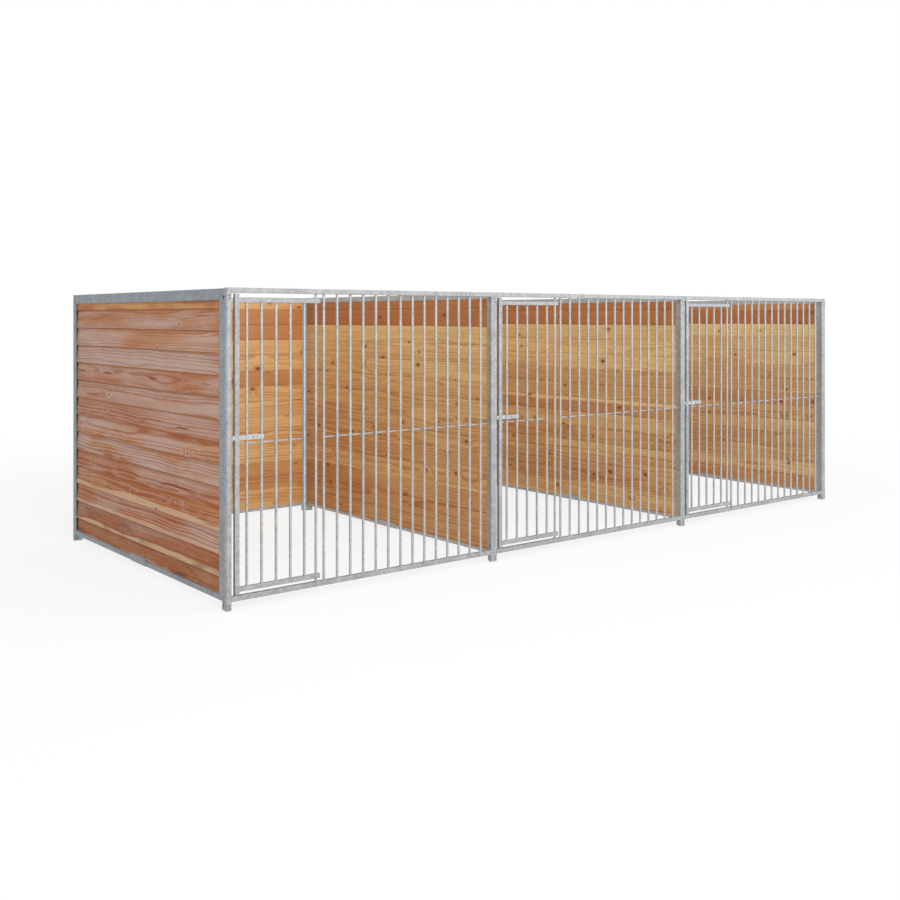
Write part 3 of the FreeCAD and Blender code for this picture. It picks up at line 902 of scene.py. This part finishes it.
def model_screw(diameter, head, shank, reach):
    """A button head with a hexagon socket, on a shank, pointing along +y from its front at y 0."""
    facing_front = (math.radians(90), 0.0, 0.0)
    socket_radius = diameter * 0.24
    socket_depth = head * 0.65
    deselect_all()
    bpy.ops.mesh.primitive_cylinder_add(vertices=28, radius=diameter / 2, depth=head,
                                        location=(0.0, head / 2, 0.0), rotation=facing_front)
    screw = bpy.context.object
    bpy.ops.object.transform_apply(location=True, rotation=True, scale=True)
    bpy.ops.object.mode_set(mode="EDIT")
    pick(screw, "FACE", lambda f: f.normal.y > 0.9)
    bpy.ops.mesh.inset(thickness=(diameter - shank) / 2)
    bpy.ops.mesh.extrude_region_move(TRANSFORM_OT_translate={"value": (0.0, reach - head, 0.0)})
    pick(screw, "EDGE", lambda e: max(v.co.y for v in e.verts) < head * 0.1)
    bpy.ops.mesh.bevel(offset=head * 0.55, segments=4)
    bpy.ops.object.mode_set(mode="OBJECT")
    deselect_all()
    bpy.ops.mesh.primitive_cylinder_add(vertices=6, radius=socket_radius, depth=2 * socket_depth,
                                        location=(0.0, 0.0, 0.0), rotation=facing_front)
    socket = bpy.context.object
    bpy.ops.object.transform_apply(location=True, rotation=True, scale=True)
    apply_modifier(screw, "BOOLEAN", object=socket, operation="DIFFERENCE", solver="EXACT")
    throw_away(socket)
    make_active(screw)
    bpy.ops.object.shade_smooth_by_angle(angle=smooth_angle)
    return screw


class KENNEL_OT_screws(bpy.types.Operator):
    """Put the button head screws on the fronts of the posts"""
    bl_idname = "kennel.screws"
    bl_label = "Post screws"

    def execute(self, context):
        steel = context.scene.kennel_steel
        luck = random.Random(screw_seed)
        boxes = solids_of("post_screws")
        low, high = boxes[0]
        screw = model_screw(high.x - low.x, steel.screw_head, steel.screw_shank, high.y - low.y)
        placed = []
        for low, high in boxes:
            middle = (low + high) / 2
            turn = Matrix.Rotation(luck.uniform(0, math.pi), 4, "Y")
            placed.append(copy_of(screw, Matrix.Translation((middle.x, low.y, middle.z)) @ turn))
        throw_away(screw)
        screws = joined(placed, "post_screw_heads")
        screws.data.materials.append(bpy.data.materials["zinc_fasteners"])
        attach(screws, "kennel_frame")
        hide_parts("post_screws")
        return {"FINISHED"}


def white_to_camera(finish):
    """1 for rays from the camera, a mirror or glass, which see the background."""
    rays = finish.node("ShaderNodeLightPath", output="Is Camera Ray")
    seen = rays + rays.other("Is Glossy Ray") + rays.other("Is Transmission Ray")
    return finish.step(seen, 0.0, 1.0)


def sky_world(strength):
    """Even light from all round, which the camera sees as plain white."""
    sky = Finish(bpy.data.worlds.new("studio"))
    seen = white_to_camera(sky)
    light = sky.node("ShaderNodeBackground", {},
                     {"Color": (1.0, 1.0, 1.0, 1.0), "Strength": seen * (1 - strength) + strength})
    sky.node("ShaderNodeOutputWorld", {}, {"Surface": light})
    return sky.owner


def floor_finish(colour):
    """Pale floor that the camera sees nearly white, with the object's shadow on it."""
    pale = Finish(bpy.data.materials.new("studio_floor"))
    dull = pale.node("ShaderNodeBsdfDiffuse", {}, {"Color": (*colour, 1.0)})
    white = pale.node("ShaderNodeEmission", {}, {"Color": (1.0, 1.0, 1.0, 1.0), "Strength": 1.0})
    x, y, _ = pale.split(pale.object_place())
    near_white = 0.8
    far = pale.step((x * x + y * y) ** 0.5, 3.0, 9.0)
    share = white_to_camera(pale) * (far * (1 - near_white) + near_white)
    both = pale.node("ShaderNodeMixShader", {}, {0: share, 1: dull, 2: white})
    pale.node("ShaderNodeOutputMaterial", {}, {"Surface": both})
    return pale.owner


def add_soft_light(name, place, size, power, target):
    """A round area light that points at the target."""
    bpy.ops.object.light_add(type="AREA", location=place)
    light = bpy.context.object
    light.name = name
    light.data.shape = "DISK"
    light.data.size = size
    light.data.energy = power
    aim = target - light.location
    light.rotation_euler = aim.to_track_quat("-Z", "Y").to_euler()


class KENNEL_OT_stage(bpy.types.Operator):
    """Set up the floor, the light and the camera"""
    bl_idname = "kennel.stage"
    bl_label = "Studio stage"

    def execute(self, context):
        scene = context.scene
        settings = scene.kennel_stage
        scene.view_settings.view_transform = "Standard"
        scene.world = sky_world(settings.sky)

        deselect_all()
        bpy.ops.mesh.primitive_plane_add(size=settings.floor_size,
                                         location=(0.0, 0.0, -settings.floor_drop))
        floor = context.object
        floor.name = "studio_floor"
        floor.data.materials.append(floor_finish(settings.floor))

        target = settings.light_aim
        add_soft_light("key_light", settings.key_place, settings.key_size, settings.key, target)
        add_soft_light("fill_light", settings.fill_place, settings.fill_size, settings.fill, target)

        bpy.ops.object.camera_add(location=settings.camera_place,
                                  rotation=(math.radians(90), 0.0, settings.camera_turn))
        camera = context.object
        camera.name = "camera"
        camera.data.sensor_width = 36.0
        camera.data.lens = settings.lens
        camera.data.shift_y = -settings.shift_down
        camera.data.clip_end = 200.0
        scene.camera = camera
        return {"FINISHED"}


class KENNEL_PT_panel(bpy.types.Panel):
    """Sidebar panel of the kennel run"""
    bl_idname = "KENNEL_PT_panel"
    bl_label = "Dog kennel run"
    bl_space_type = "VIEW_3D"
    bl_region_type = "UI"
    bl_category = "Kennel"

    def draw(self, context):
        for operator in operators:
            self.layout.operator(operator.bl_idname)
        for name in settings_groups:
            group = getattr(context.scene, name)
            rows = self.layout.box()
            for setting in group.bl_rna.properties:
                if not setting.is_readonly and setting.identifier != "name":
                    rows.prop(group, setting.identifier)


operators = (KENNEL_OT_boards, KENNEL_OT_steel, KENNEL_OT_welds, KENNEL_OT_screws, KENNEL_OT_stage)
settings_groups = {
    "kennel_boards": KennelBoards,
    "kennel_larch": KennelLarch,
    "kennel_steel": KennelSteel,
    "kennel_stage": KennelStage,
}


def register():
    for name, group in settings_groups.items():
        bpy.utils.register_class(group)
        setattr(bpy.types.Scene, name, bpy.props.PointerProperty(type=group))
    for kind in operators + (KENNEL_PT_panel,):
        bpy.utils.register_class(kind)


def unregister():
    for kind in reversed(operators + (KENNEL_PT_panel,)):
        bpy.utils.unregister_class(kind)
    for name, group in reversed(settings_groups.items()):
        delattr(bpy.types.Scene, name)
        bpy.utils.unregister_class(group)


def main():
    register()
    bpy.ops.kennel.boards()
    bpy.ops.kennel.steel()
    bpy.ops.kennel.welds()
    bpy.ops.kennel.screws()
    bpy.ops.kennel.stage()


if __name__ == "__main__":
    main()
